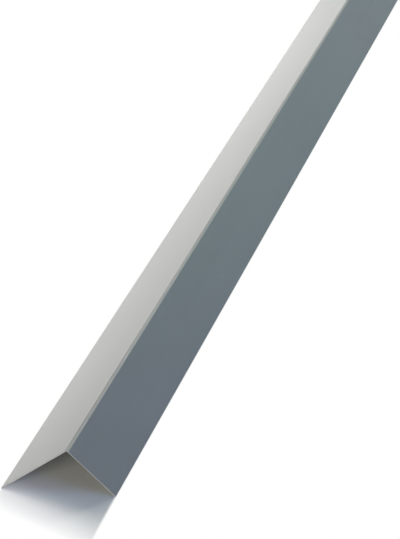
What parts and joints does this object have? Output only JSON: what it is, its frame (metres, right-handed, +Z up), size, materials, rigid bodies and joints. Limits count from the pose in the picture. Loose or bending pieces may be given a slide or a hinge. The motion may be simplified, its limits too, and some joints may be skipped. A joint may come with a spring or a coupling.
{
  "type": "metal angle section",
  "caption": "Long folded sheet-metal angle section with unequal legs, a small rounded bend and plain sheared edges, lying ridge up on its long edges.",
  "frame": {"origin": "on the floor under the middle of the section: the bottom centre of its box", "axes": "+X along the section, +Y across it towards the long leg, +Z up through the ridge"},
  "size_m": [2, 0.1498, 0.0635],
  "materials": {
    "sheet": "satin silver-grey coating, one finish all round"
  },
  "bodies": {
    "root": {"angle_section": "sheet"}
  },
  "joints": []
}
